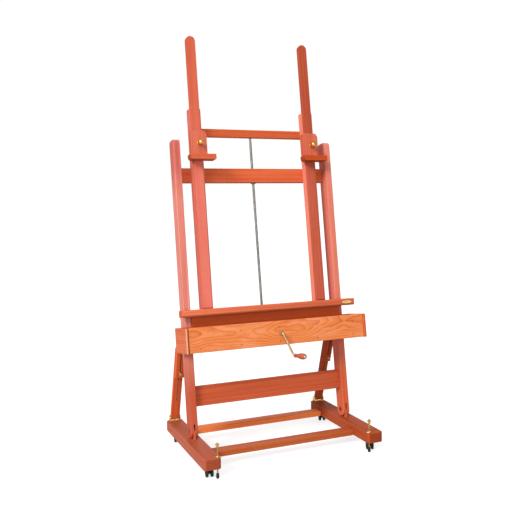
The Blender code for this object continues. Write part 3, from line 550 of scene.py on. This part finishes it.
class Shape:
    """A mesh under construction, in one local frame."""

    def __init__(self):
        self.bm = bmesh.new()

    def ring(self, points):
        return [self.bm.verts.new(p) for p in points]

    def skin(self, rings, caps=True):
        """Faces between each ring and the next, and over both ends."""
        for one, two in zip(rings, rings[1:]):
            count = len(one)
            for i in range(count):
                j = (i + 1) % count
                self.bm.faces.new((one[i], one[j], two[j], two[i]))
        if caps:
            self.bm.faces.new(rings[0][::-1])
            self.bm.faces.new(rings[-1])

    def lathe(self, profile, at, axis="z", steps=32):
        """A turned solid. The profile is (place along the axis, radius); radius 0 at both ends."""
        turn = Matrix.Translation(at) @ turn_to(axis)
        rings = []
        for place, radius in profile:
            count = steps if radius > 0 else 1
            rings.append(self.ring([turn @ Vector((u, v, place)) for u, v in circle(radius, steps)[:count]]))
        for one, two in zip(rings, rings[1:]):
            for i in range(steps):
                j = (i + 1) % steps
                quad = [one[i % len(one)], one[j % len(one)], two[j % len(two)], two[i % len(two)]]
                quad = list(dict.fromkeys(quad))
                if len(quad) > 2:
                    self.bm.faces.new(quad)

    def prism(self, outline, low, high, axis, ease=0.0):
        """An outline pulled along x, y or z with its end edges eased by a small chamfer."""
        order = {"x": (2, 0, 1), "y": (0, 2, 1), "z": (0, 1, 2)}[axis]
        centre = Vector((sum(p[0] for p in outline), sum(p[1] for p in outline))) / len(outline)
        rings = []
        levels = [(low, 0.0), (high, 0.0)]
        if ease:
            levels = [(low, ease), (low + ease * 0.3, ease * 0.3), (low + ease, 0.0)]
            levels += [(high - ease, 0.0), (high - ease * 0.3, ease * 0.3), (high, ease)]
        for level, inset in levels:
            ring = []
            for u, v in outline:
                away = Vector((u, v)) - centre
                reach = max(away.length, 1e-9)
                moved = centre + away * (max(reach - inset, 0.0) / reach)
                source = (moved[0], moved[1], level)
                ring.append(Vector([source[k] for k in order]))
            rings.append(self.ring(ring))
        self.skin(rings)

    def sweep(self, points, radii, steps):
        """A round rod along points, with a radius at each of them."""
        side = Vector((1.0, 0.0, 0.0))
        rings = []
        for k, here in enumerate(points):
            ahead = points[min(k + 1, len(points) - 1)] - points[max(k - 1, 0)]
            forward = ahead.normalized()
            side = (side - forward * side.dot(forward)).normalized()
            other = forward.cross(side)
            rings.append(self.ring([here + (side * u + other * v) * radii[k] for u, v in circle(1.0, steps)]))
        self.skin(rings)

    def thread(self, at, low, high, root, crest, lead, pattern):
        """A screw thread about z: the section turns by one of its points at each step along the rod."""
        count = len(pattern)
        step = lead / count
        rings = []
        for k in range(int((high - low) / step) + 1):
            z = low + k * step
            taper = min(1.0, (z - low) / 0.002, (high - z) / 0.002)
            ring = []
            for i, level in enumerate(pattern):
                a = 2 * math.pi * (i + k) / count
                radius = root + (crest - root) * level * max(taper, 0.0)
                ring.append(Vector(at) + Vector((radius * math.cos(a), radius * math.sin(a), z)))
            rings.append(self.ring(ring))
        self.skin(rings)

    def screw(self, at, axis, radius, rise=0.0006, sunk=0.0012):
        """A screw head with a cross recess, standing a little above a face."""
        turn = Matrix.Translation(at) @ turn_to(axis)
        arm, half = radius * 0.58, radius * 0.15
        cross = [(arm, -half), (arm, half), (half, half), (half, arm), (-half, arm), (-half, half)]
        cross += [(-arm, half), (-arm, -half), (-half, -half), (-half, -arm), (half, -arm), (half, -half)]
        outer = []
        for k in range(24):
            a = math.radians(-22.5 + 15 * k)
            outer.append((math.cos(a), math.sin(a)))

        def loop(points, z, scale=1.0):
            return self.ring([turn @ Vector((u * scale, v * scale, z)) for u, v in points])

        top = loop(cross, rise)
        deep = loop(cross, rise - sunk, 0.75)
        dome = loop(outer, rise * 0.75, radius * 0.86)
        rim = loop(outer, 0.0, radius)
        base = loop(outer, -sunk * 1.6, radius * 0.6)
        for i in range(12):
            j = (i + 1) % 12
            self.bm.faces.new((top[i], dome[2 * i], dome[2 * i + 1]))
            self.bm.faces.new((top[i], dome[2 * i + 1], dome[(2 * i + 2) % 24], top[j]))
        self.skin([deep, top], caps=False)
        self.bm.faces.new(deep)
        self.skin([dome, rim, base], caps=False)
        self.bm.faces.new(base)

    def made(self, name, look, body, replaces=(), slot=None, place=None, smooth=32):
        """Ends the shape as one visual piece that rides on a body and stands for CAD nodes."""
        if place is not None:
            self.bm.transform(place)
        bmesh.ops.recalc_face_normals(self.bm, faces=self.bm.faces)
        mesh = bpy.data.meshes.new(name)
        self.bm.to_mesh(mesh)
        self.bm.free()
        for polygon in mesh.polygons:
            polygon.use_smooth = True
        mesh.set_sharp_from_angle(angle=math.radians(smooth))
        mesh.materials.append(look)
        obj = bpy.data.objects.new(name, mesh)
        bpy.context.scene.collection.objects.link(obj)
        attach(obj, body)
        if replaces:
            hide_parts(*replaces)
        return obj


def ease(obj, width):
    """Rounds the edges that the CAD leaves crisp."""
    step = obj.modifiers.new("eased_edges", "BEVEL")
    step.width = width
    step.segments = 2
    step.limit_method = "ANGLE"
    step.angle_limit = math.radians(30)
    step.use_clamp_overlap = True
    step.harden_normals = False


FRAME = frame_matrix(0.0, 0.0, 0.0)
SPINDLE_D = 0.0421  # the spindle's axis in the tilted frame
SHELF_FRONT, SHELF_BACK, SHELF_BOTTOM, SHELF_TOP = -0.059, -0.016, 0.4255, 0.4505
CRANK_THROW = Vector((0.036, 0.0, -0.082))  # from the shaft to the grip
PIVOT = from_frame(0.0, 0.0255, 0.031)
STAY_FOOT = Vector((0.0, 0.2105, 0.084))
STAY_HEAD_D, STAY_HEAD_S = 0.069, 0.360
STAY_HEAD = from_frame(0.0, STAY_HEAD_D, STAY_HEAD_S)


# ------------------------------------------------------------------ the wood
def carried_wood():
    """The boards keep their CAD shape and get their own grain and softened edges."""
    for name, node in NODES.items():
        if name in LOOKS and name not in ("canvas_shelf", "crank_grip"):
            paint(node, wood_of(name))
            ease(node, 0.0007)


def shelf():
    """Canvas shelf: rounded front edge over a bevelled underside."""
    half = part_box("canvas_shelf")[1].x
    front, back, bottom, top = SHELF_FRONT, SHELF_BACK, SHELF_BOTTOM, SHELF_TOP
    profile = [(back, bottom), (front + 0.007, bottom), (front + 0.0045, bottom + 0.0015)]
    profile += [(front + 0.0006, bottom + 0.0068), (front, bottom + 0.0085)]
    profile += arc((front + 0.003, top - 0.003), 0.003, 180, 90, 5) + [(back, top)]
    shape = Shape()
    rings = []
    for x, inset in ((-half, 0.0022), (-half + 0.0007, 0.0007), (-half + 0.0022, 0.0)):
        rings.append((x, inset))
    rings += [(-x, inset) for x, inset in reversed(rings)]
    made = []
    for x, inset in rings:
        ring = []
        for d, s in profile:
            d = max(d, front + inset) if d < back - 0.001 else d - inset * 0.5
            s = min(max(s, bottom + inset * 0.6), top - inset * 0.6)
            ring.append((x, d, s))
        made.append(shape.ring(ring))
    shape.skin(made)
    shape.made("shelf", wood_of("canvas_shelf"), "carriage", ["canvas_shelf"], "beech_red", FRAME)

    # blank oval plate with a rim and two pins
    shape = Shape()
    plate = [(0.0200 * math.cos(t * math.pi / 24), 0.0058 * math.sin(t * math.pi / 24)) for t in range(48)]
    at = (0.304, -0.0593, 0.438)
    levels = ((0.0, 1.0), (-0.0006, 1.0), (-0.0010, 0.97), (-0.0010, 0.86), (-0.0006, 0.82))
    rings = [shape.ring([(at[0] + u * k, at[1] + d, at[2] + v * k) for u, v in plate]) for d, k in levels]
    shape.skin(rings)
    pin = [(0.0, 0.0), (0.0, 0.0009), (0.0003, 0.0007), (0.0005, 0.0)]
    for side in (-1, 1):
        shape.lathe(pin, (at[0] + side * 0.0145, at[1] - 0.0006, at[2]), "-y", 12)
    shape.made("oval_plate", PLATE_BRASS, "carriage", ["shelf_plate"], "brass", FRAME)


# ------------------------------------------------------------------ the lift
def lift():
    """The threaded spindle, its flanged bush in the upper rail and the gear housing at its foot."""
    shape = Shape()
    shape.thread((0.0, SPINDLE_D, 0.0), 0.372, 1.098, 0.0039, 0.0048, 0.010, (0, 0, 1, 1) * 4)
    shape.made("threaded_spindle", STEEL, "spindle", ["spindle"], "steel", FRAME, smooth=24)

    shape = Shape()
    low, high = 0.9037, 0.959
    tube = [(low, 0.0052), (low, 0.0084), (low + 0.0006, 0.0092), (low + 0.003, 0.0092)]
    tube += [(low + 0.0033, 0.0071), (high - 0.0006, 0.0071), (high, 0.0067), (high, 0.0052)]
    rings = [shape.ring([(u, SPINDLE_D + v, place) for u, v in circle(radius, 36)]) for place, radius in tube]
    shape.skin(rings + rings[:1], caps=False)
    shape.made("spindle_bush", BRONZE, "frame", ["spindle_nut"], "brass", FRAME)

    shape = Shape()
    shape.prism(rounded(-0.021, 0.021, 0.002, 0.050, 0.006), 0.327, 0.383, "z", ease=0.0015)
    shape.prism(rounded(-0.0165, 0.0165, 0.3335, 0.3775, 0.004), 0.049, 0.0545, "y", ease=0.0012)
    for x in (-0.0125, 0.0125):
        for s in (0.3375, 0.3735):
            hexagon = [(x + p[0], s + p[1]) for p in arc((0.0, 0.0), 0.0032, 0, 300, 5)]
            shape.prism(hexagon, 0.0544, 0.0558, "y", ease=0.0003)
    collar = [(0.380, 0.0), (0.380, 0.0125), (0.3835, 0.0120), (0.3840, 0.0110)]
    collar += [(0.3840, 0.0056), (0.381, 0.0)]
    shape.lathe(collar, (0.0, SPINDLE_D, 0.0), "z", 36)
    for x in (-0.0212, 0.0172):
        rib = [(x, 0.006), (x + 0.004, 0.006), (x + 0.004, 0.046), (x, 0.046)]
        for s in (0.340, 0.355, 0.370):
            shape.prism(rib, s - 0.0012, s + 0.0012, "z")
    shape.made("gear_housing", CAST, "carriage", ["gearbox"], "steel", FRAME)


def crank():
    """Bent rod from the gear housing, with a plain hub and a turned grip."""
    throw = CRANK_THROW
    along = throw.normalized()
    out = Vector((0.0, -1.0, 0.0))
    turn_in, radius = 0.010, 0.0039
    elbow = Vector((0.0, -0.1295, 0.0))
    path = [(Vector((0.0, 0.016, 0.0)), 0.0048), (Vector((0.0, -0.1115, 0.0)), 0.0048)]
    path += [(Vector((0.0, -0.1117, 0.0)), 0.0066), (Vector((0.0, -0.1165, 0.0)), 0.0066)]
    path += [(Vector((0.0, -0.1175, 0.0)), 0.0058), (Vector((0.0, -0.1178, 0.0)), radius)]
    for corner, first, second in ((elbow, out, along), (elbow + throw, along, out)):
        hinge = corner - first * turn_in + second * turn_in
        for i in range(11):
            bend = math.pi / 2 * i / 10
            here = hinge - second * turn_in * math.cos(bend) + first * turn_in * math.sin(bend)
            path.append((here, radius))
    tip = -0.2168
    button = [(tip + 0.0002, radius), (tip, 0.0050), (tip - 0.0015, 0.0056), (tip - 0.0032, 0.0046)]
    button += [(tip - 0.0042, 0.0026), (tip - 0.0045, 0.0004)]
    path += [(Vector((throw.x, place, throw.z)), size) for place, size in button]
    shape = Shape()
    shape.sweep([p for p, _ in path], [r for _, r in path], 24)
    grub_screw = [(0.0, 0.0), (0.0, 0.0016), (0.0012, 0.0016), (0.0015, 0.0012), (0.0009, 0.0)]
    shape.lathe(grub_screw, (0.0, -0.1142, 0.0062), "z", 12)
    at = frame_matrix(0.0, 0.0, 0.349)
    shape.made("crank_rod", CRANK_METAL, "crank", ["crank"], "steel", at)

    low, high = -0.2165, -0.1385
    profile = [(0.00, 0.0040), (0.00, 0.0066), (0.015, 0.0080), (0.05, 0.0094), (0.12, 0.0103)]
    profile += [(0.22, 0.0107), (0.34, 0.0104), (0.46, 0.0094), (0.58, 0.0080), (0.68, 0.0069)]
    profile += [(0.76, 0.0063), (0.815, 0.0062), (0.825, 0.0058), (0.840, 0.0058), (0.850, 0.0066)]
    profile += [(0.90, 0.0072), (0.95, 0.0072), (0.985, 0.0066), (1.00, 0.0056), (1.00, 0.0040)]
    shape = Shape()
    rings = []
    for share, size in profile:
        place = low + (high - low) * share
        rings.append(shape.ring([(throw.x + u, place, throw.z + v) for u, v in circle(size, 40)]))
    shape.skin(rings + rings[:1], caps=False)
    shape.made("turned_grip", wood_of("crank_grip"), "crank_grip", ["crank_grip"], "beech", at)


# ------------------------------------------------------------------ brass fittings
def ball_profile(centre, radius, neck, steps=14):
    """A ball as far as its neck, along an axis that points away from the wood."""
    made = []
    for i in range(steps):
        a = math.pi * i / steps
        made.append((centre + radius * math.cos(a), radius * math.sin(a)))
        if made[-1][1] < neck and i > steps / 2:
            made.pop()
            break
    made[0] = (centre + radius, 0.0)
    return made


def clamp_knob(side, sign):
    """Ball knob on a collar; its screw runs into the clamp block."""
    face = 0.0203
    profile = ball_profile(0.0400, 0.0102, 0.0058)
    collar = [(0.0112, 0.0057), (0.0090, 0.0060), (0.0056, 0.0064), (0.0048, 0.0070)]
    collar += [(0.0022, 0.0076), (0.0018, 0.0082), (0.0006, 0.0084), (0.0, 0.0080)]
    profile += [(face + place, radius) for place, radius in collar]
    profile += [(face, 0.0024), (0.0032, 0.0024), (0.0032, 0.0)]
    shape = Shape()
    shape.lathe(profile, (sign * 0.2236, 0.0, 1.040), "-y", 36)
    shape.made("ball_knob_" + side, BRASS, "clamp_knob_" + side, ["clamp_knob_" + side], "brass", FRAME)


def rail_bracket(side, sign):
    """Brass fork with its pin on the side rail, at the foot of the stay."""
    x, y, z = sign * STAY_X, STAY_FOOT.y, STAY_FOOT.z
    floor = RAIL_TOP
    shape = Shape()
    plate = rounded(x - 0.0205, x + 0.0205, y - 0.012, y + 0.012, 0.003)
    shape.prism(plate, floor, floor + 0.0022, "z", ease=0.0004)
    ear = [(y - 0.0095, floor + 0.001), (y + 0.0095, floor + 0.001)] + arc((y, z), 0.0095, 0, 180, 16)
    for x0 in (x - 0.0205, x + 0.0177):
        shape.prism(ear, x0, x0 + 0.0028, "x", ease=0.0005)
    lip = rounded(x - 0.0196, x + 0.0196, floor + 0.0006, floor + 0.0060, 0.0012)
    shape.prism(lip, y - 0.0122, y - 0.0104, "y", ease=0.0004)
    pin = [(-0.0222, 0.0), (-0.0220, 0.0016), (-0.0213, 0.0030), (-0.0205, 0.0034)]
    pin += [(-0.0204, 0.0023)]
    pin += [(-place, radius) for place, radius in reversed(pin)]
    shape.lathe(pin, (x, y, z), "x", 24)
    shape.made("rail_bracket_" + side, OLD_BRASS, "base", ["stay_bracket_" + side], "brass")
    shape = Shape()
    for dy in (-0.0068, 0.0068):
        shape.screw((x, y + dy, floor + 0.0022), "z", 0.0028, 0.0004, 0.0009)
    shape.made("bracket_screws_" + side, BRONZE, "base")


def post_lug(side, sign):
    """Brass lug with its pin on the back of the post, at the head of the stay."""
    x, d, s = sign * STAY_X, STAY_HEAD_D, STAY_HEAD_S
    back = 0.0513
    post_x = sign * POST_X
    shape = Shape()
    plate = rounded(post_x - 0.0105, post_x + 0.0105, s - 0.017, s + 0.017, 0.004)
    shape.prism(plate, back, back + 0.0022, "y", ease=0.0004)
    cheek = [(back + 0.001, s - 0.0078)] + arc((d, s), 0.0075, -75, 75, 12) + [(back + 0.001, s + 0.0078)]
    shape.prism(cheek, x - 0.0034, x + 0.0034, "x", ease=0.0005)
    pin = [(-0.0182, 0.0), (-0.0180, 0.0020), (-0.0170, 0.0036), (-0.0166, 0.0036), (-0.0165, 0.0023)]
    pin += [(-place, radius) for place, radius in reversed(pin)]
    shape.lathe(pin, (x, d, s), "x", 24)
    shape.made("post_lug_" + side, OLD_BRASS, "frame", ["stay_lug_" + side], "brass", FRAME)
    shape = Shape()
    for ds in (-0.0128, 0.0128):
        shape.screw((post_x, back + 0.0022, s + ds), "y", 0.0026, 0.0004, 0.0009)
    shape.made("lug_screws_" + side, BRONZE, "frame", place=FRAME)


def stay_ball(side, sign):
    """Clamping bolt of a stay: ball knob and washer in front, round head behind."""
    lean = Matrix.Rotation(STAY_LEAN, 4, "X")
    at = Matrix.Translation((sign * STAY_X, STAY_HEAD.y, STAY_HEAD.z)) @ lean
    face = 0.0063
    rear = -0.0233
    profile = ball_profile(face + 0.0105, 0.0062, 0.0036)
    washer = [(0.0046, 0.0036), (0.0030, 0.0038), (0.0020, 0.0040), (0.0016, 0.0050)]
    washer += [(0.0012, 0.0056), (0.0003, 0.0058), (0.0, 0.0054), (0.0, 0.0016)]
    head = [(0.0, 0.0016), (0.0, 0.0060), (0.0008, 0.0058), (0.0020, 0.0044), (0.0025, 0.0)]
    profile += [(face + place, radius) for place, radius in washer]
    profile += [(rear - place, radius) for place, radius in head]
    shape = Shape()
    shape.lathe(profile, (0.0, 0.0, -0.150), "-y", 32)
    shape.made("stay_ball_" + side, AGED_BRASS, "stay_knob_" + side, ["stay_knob_" + side], "brass", at)


def pivot_bolt(side, sign):
    """Domed head outside, washer and nut inside."""
    half = 0.0128
    head = [(-half - 0.0030, 0.0), (-half - 0.0027, 0.0030), (-half - 0.0014, 0.0056)]
    head += [(-half - 0.0004, 0.0064), (-half, 0.0064), (-half, 0.0038), (half, 0.0038)]
    head += [(half, 0.0072), (half + 0.0009, 0.0072)]
    head += [(half + 0.0010, 0.0040), (half + 0.0024, 0.0040), (half + 0.0028, 0.0030), (half + 0.0028, 0.0)]
    at = Vector((sign * POST_X, PIVOT.y, PIVOT.z))
    axis = "x" if sign < 0 else "-x"
    shape = Shape()
    shape.lathe(head, at, axis, 28)
    nut = [(at.y + p[0], at.z + p[1]) for p in arc((0.0, 0.0), 0.0060, 0, 300, 5)]
    x0, x1 = sorted((at.x - sign * (half + 0.0009), at.x - sign * (half + 0.0027)))
    shape.prism(nut, x0, x1, "x", ease=0.0004)
    shape.made("hinge_bolt_" + side, BRONZE, BODY_OF["pivot_bolt_" + side], ["pivot_bolt_" + side], "steel")


def levelling(side, sign):
    """Levelling screw with a diamond head, its winged nut on the rail and its rubber foot."""
    x, y = sign * 0.2855, -0.213
    shape = Shape()
    section = (0, 0, 0, 0, 0, 0.5, 1, 1, 1, 1, 1, 0.5)
    shape.thread((x, y, 0.0), 0.0090, 0.1050, 0.0019, 0.0025, 0.00125, section)
    head, head_z = 0.0080, 0.112
    tips = [(x - head, head_z), (x, head_z - head), (x + head, head_z), (x, head_z + head)]
    outline = []
    for k, tip in enumerate(tips):
        before, after = Vector(tips[k - 1]), Vector(tips[(k + 1) % 4])
        tip = Vector(tip)
        first, second = tip.lerp(before, 0.16), tip.lerp(after, 0.16)
        for share in (0.0, 0.25, 0.5, 0.75, 1.0):
            outline.append(tuple(first.lerp(tip, share).lerp(tip.lerp(second, share), share)))
    shape.prism(outline, y - 0.0022, y + 0.0022, "y", ease=0.0008)
    ferrule = [(0.1015, 0.0), (0.1015, 0.0038), (0.1030, 0.0041), (0.1062, 0.0038)]
    ferrule += [(0.1072, 0.0030), (0.1072, 0.0)]
    shape.lathe(ferrule, (x, y, 0.0), "z", 24)
    body = "level_screw_" + side
    shape.made("level_rod_" + side, ROD_BRASS, body, [body], "brass", smooth=28)

    top = RAIL_TOP
    shape = Shape()
    wings = arc((x - 0.0085, y), 0.0026, 115, 245, 6) + arc((x, y), 0.0060, 245, 295, 4)
    wings += arc((x + 0.0085, y), 0.0026, -65, 65, 6) + arc((x, y), 0.0060, 65, 115, 4)
    shape.prism(wings, top, top + 0.0016, "z", ease=0.0004)
    boss = [(0.0, 0.0), (0.0, 0.0050), (0.0012, 0.0050), (0.0026, 0.0044), (0.0032, 0.0038), (0.0032, 0.0)]
    shape.lathe(boss, (x, y, top), "z", 24)
    shape.made("winged_nut_" + side, OLD_BRASS, "base", ["level_nut_" + side], "brass")
    shape = Shape()
    for dx in (-0.0082, 0.0082):
        shape.screw((x + dx, y, top + 0.0016), "z", 0.0016, 0.0003, 0.0006)
    shape.made("nut_screws_" + side, BRONZE, "base")

    shape = Shape()
    foot = [(0.0, 0.0), (0.0, 0.0034), (0.0006, 0.0040), (0.0018, 0.0046), (0.0044, 0.0050), (0.0070, 0.0052)]
    foot += [(0.0110, 0.0050), (0.0114, 0.0047), (0.0120, 0.0047), (0.0124, 0.0049), (0.0156, 0.0047)]
    foot += [(0.0168, 0.0043), (0.0175, 0.0039), (0.0175, 0.0032), (0.0085, 0.0032), (0.0085, 0.0)]
    shape.lathe(foot, (x, y, 0.0), "z", 32)
    shape.made("rubber_foot_" + side, RUBBER, "level_foot_" + side, ["level_foot_" + side], "black_rubber")


# ------------------------------------------------------------------ castors
def castor(label, sign, end_sign):
    """Twin-wheel castor: plate, web and hood on its fork, and two grooved wheels on one axle."""
    at = Matrix.Translation((sign * CASTOR_X, end_sign * CASTOR_Y, 0.0))
    at = at @ Matrix.Rotation(math.radians(CASTOR_TURN[label]), 4, "Z")
    trail, axle_z = -0.008, 0.0145
    shape = Shape()
    plate = [(0.0290, 0.0), (0.0290, 0.0110), (0.0296, 0.0122), (0.0306, 0.0130), (0.0330, 0.0130)]
    plate += [(0.0337, 0.0124), (0.0337, 0.0)]
    shape.lathe(plate, (0.0, 0.0, 0.0), "z", 32)
    web = arc((trail, axle_z), 0.0046, 110, 330, 14) + [(0.0060, 0.0300), (-0.0120, 0.0300)]
    shape.prism(web, -0.0029, 0.0029, "x", ease=0.0006)
    hood = arc((trail, axle_z), 0.0166, 28, 118, 12) + arc((trail, axle_z), 0.0151, 118, 28, 12)
    shape.prism(hood, -0.0122, 0.0122, "x", ease=0.0002)
    fork = "castor_fork_" + label
    shape.made("castor_hood_" + label, PLASTIC, fork, [fork], "black_plastic", at)

    shape = Shape()
    half = [(-0.0128, 0.0), (-0.0128, 0.0018), (-0.0122, 0.0028), (-0.0113, 0.0034), (-0.0111, 0.0048)]
    half += [(-0.0113, 0.0068), (-0.0120, 0.0086), (-0.0129, 0.0098), (-0.0130, 0.0112), (-0.0127, 0.0128)]
    half += [(-0.0119, 0.0140), (-0.0108, 0.01448), (-0.0090, 0.01448), (-0.0088, 0.0142), (-0.0082, 0.0142)]
    half += [(-0.0080, 0.01448), (-0.0062, 0.01448), (-0.0051, 0.0140), (-0.0043, 0.0130), (-0.0038, 0.0112)]
    half += [(-0.0036, 0.0080), (-0.0044, 0.0070), (-0.0044, 0.0050), (-0.0036, 0.0042), (-0.0036, 0.0019)]
    shape.lathe(half + [(-place, radius) for place, radius in reversed(half)], (0.0, trail, axle_z), "x", 36)
    wheels = "castor_wheels_" + label
    shape.made("twin_wheels_" + label, TYRE, wheels, [wheels], "black_plastic", at)


# ------------------------------------------------------------------ screws and plugs
def fixings():
    """Screw heads in the box, posts, masts and crossbar, and plugs in the side rails."""
    plug = [(-0.002, 0.0), (-0.002, 0.0048), (0.0001, 0.0048), (0.0003, 0.0044), (0.0004, 0.0)]
    shape = Shape()
    for x in (-0.296, -0.149, -0.002, 0.145, 0.292):
        for s in (0.369, 0.320):
            shape.screw((x, -0.1101, s), "-y", 0.0024, 0.0001, 0.0009)
    shape.made("box_screws", BRONZE, "carriage", place=FRAME)

    for side, sign in SIDES:
        outward = "x" if sign > 0 else "-x"
        shape = Shape()
        for d, s in ((0.0370, 0.929), (0.0230, 0.141)):
            shape.screw((sign * 0.3141, d, s), outward, 0.0046, 0.0001, 0.0012)
        shape.made("post_screws_" + side, BRONZE, "frame", place=FRAME)
        shape = Shape()
        for dx in (-0.012, 0.012):
            shape.screw((sign * 0.2195 + dx * 0.8, 0.0516, 1.0925), "y", 0.0036, 0.0004, 0.0012)
        for s in (0.336, 0.372, 0.430):
            shape.screw((sign * 0.2255, 0.0321, s), "y", 0.0034, 0.0003, 0.0012)
        shape.made("mast_screws_" + side, BRONZE, "carriage", place=FRAME)
        shape = Shape()
        for y, z in ((-0.102, 0.0445), (0.150, 0.0445)):
            shape.lathe(plug, (sign * 0.3350, y, z), outward, 24)
        shape.made("rail_plugs_" + side, wood_of("pivot_tongue_" + side), "base")


carried_wood()
shelf()
lift()
crank()
for side, sign in SIDES:
    clamp_knob(side, sign)
    rail_bracket(side, sign)
    post_lug(side, sign)
    stay_ball(side, sign)
    pivot_bolt(side, sign)
    levelling(side, sign)
    for end, end_sign in (("front", -1.0), ("rear", 1.0)):
        castor(end + "_" + side, sign, end_sign)
fixings()
camera()
studio()
